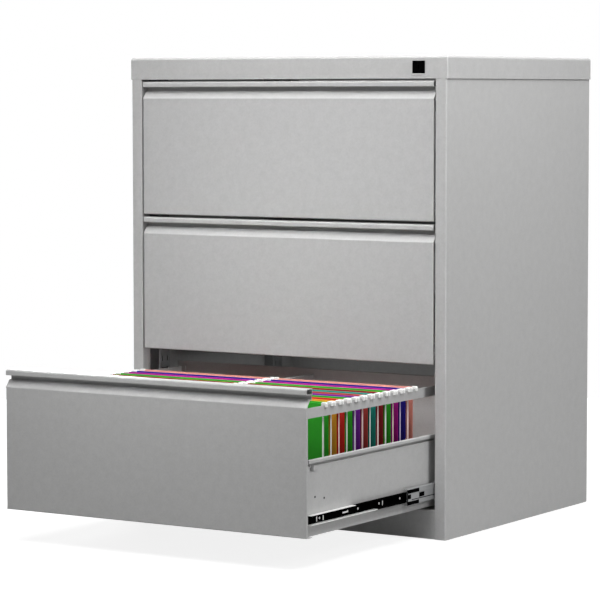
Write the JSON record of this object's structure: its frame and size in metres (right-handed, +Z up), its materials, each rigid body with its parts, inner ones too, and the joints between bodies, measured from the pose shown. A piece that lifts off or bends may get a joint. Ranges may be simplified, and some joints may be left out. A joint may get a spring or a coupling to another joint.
{
  "type": "side filing cabinet",
  "caption": "Steel side filing cabinet with stacked drawers on telescopic slides, a central lock, and card files hung on rails in the open lowest drawer.",
  "frame": {"origin": "on the floor, under the middle of the object's box as it stands with the lowest drawer open", "axes": "+Z up, -Y the way the drawers open, +X to the right of someone facing the cabinet"},
  "size_m": [0.8134, 1.1584, 1.02],
  "materials": {
    "grey_paint": "fine-textured light grey powder coat",
    "zinc": "zinc-plated steel",
    "black_slide": "black-coated slide steel",
    "black_plastic": "black moulding",
    "raw_steel": "rolled steel plate",
    "file_card": "coloured card files with white pages and white hooks"
  },
  "bodies": {
    "cabinet": {"left_side_panel": "grey_paint", "right_side_panel": "grey_paint", "back_panel": "grey_paint", "top_cover": "grey_paint", "plinth_rail": "grey_paint", "base_pan": "grey_paint", "counterweight": "raw_steel", "front_left_foot": "black_plastic", "front_right_foot": "black_plastic", "rear_left_foot": "black_plastic", "rear_right_foot": "black_plastic", "front_left_upright": "zinc", "front_right_upright": "zinc", "rear_left_upright": "zinc", "rear_right_upright": "zinc", "lock_housing": "black_plastic", "top_channel_left": "zinc", "top_channel_right": "zinc", "middle_channel_left": "zinc", "middle_channel_right": "zinc", "bottom_channel_left": "zinc", "bottom_channel_right": "zinc"},
    "top_drawer": {"top_front": "grey_paint", "top_tray": "grey_paint", "top_back": "grey_paint", "top_rail_left": "grey_paint", "top_rail_centre": "grey_paint", "top_rail_right": "grey_paint", "top_runner_left": "black_slide", "top_runner_right": "black_slide", "top_catch": "grey_paint"},
    "middle_drawer": {"middle_front": "grey_paint", "middle_tray": "grey_paint", "middle_back": "grey_paint", "middle_rail_left": "grey_paint", "middle_rail_centre": "grey_paint", "middle_rail_right": "grey_paint", "middle_runner_left": "black_slide", "middle_runner_right": "black_slide", "middle_catch": "grey_paint"},
    "bottom_drawer": {"bottom_front": "grey_paint", "bottom_tray": "grey_paint", "bottom_back": "grey_paint", "bottom_rail_left": "grey_paint", "bottom_rail_centre": "grey_paint", "bottom_rail_right": "grey_paint", "bottom_runner_left": "black_slide", "bottom_runner_right": "black_slide", "bottom_catch": "grey_paint", "hanging_files_left": "file_card", "hanging_files_right": "file_card"},
    "top_carriages": {"top_carriage_left": "zinc", "top_carriage_right": "zinc"},
    "middle_carriages": {"middle_carriage_left": "zinc", "middle_carriage_right": "zinc"},
    "bottom_carriages": {"bottom_carriage_left": "zinc", "bottom_carriage_right": "zinc"},
    "lock_cylinder": {"lock_plug": "black_plastic", "lock_cam": "zinc"},
    "lock_bar": {"lock_bar": "zinc"}
  },
  "joints": [
    {"name": "top_drawer_slide", "type": "slide", "parent": "cabinet", "child": "top_drawer", "axis": [0, -1, 0], "range_m": [0, 0.58]},
    {"name": "middle_drawer_slide", "type": "slide", "parent": "cabinet", "child": "middle_drawer", "axis": [0, -1, 0], "range_m": [0, 0.58]},
    {"name": "bottom_drawer_slide", "type": "slide", "parent": "cabinet", "child": "bottom_drawer", "axis": [0, -1, 0], "range_m": [-0.4965, 0.0835]},
    {"name": "lock_turn", "type": "hinge", "parent": "cabinet", "child": "lock_cylinder", "pos_m": [0.337, -0.08275, 0.996], "axis": [0, 1, 0], "range_deg": [0, 90]},
    {"name": "top_carriage_slide", "type": "slide", "parent": "cabinet", "child": "top_carriages", "axis": [0, -1, 0], "range_m": [0, 0.1335]},
    {"name": "middle_carriage_slide", "type": "slide", "parent": "cabinet", "child": "middle_carriages", "axis": [0, -1, 0], "range_m": [0, 0.1335]},
    {"name": "bottom_carriage_slide", "type": "slide", "parent": "cabinet", "child": "bottom_carriages", "axis": [0, -1, 0], "range_m": [-0.1142, 0.0193]},
    {"name": "lock_bar_drop", "type": "slide", "parent": "cabinet", "child": "lock_bar", "axis": [0, 0, -1], "range_m": [0, 0.01697]}
  ],
  "couplings": [
    {"joint": "top_carriage_slide", "follows": "top_drawer_slide", "ratio": 0.23},
    {"joint": "middle_carriage_slide", "follows": "middle_drawer_slide", "ratio": 0.23},
    {"joint": "bottom_carriage_slide", "follows": "bottom_drawer_slide", "ratio": 0.23},
    {"joint": "lock_turn", "follows": "lock_bar_drop", "rad_per_m": 92.558}
  ]
}
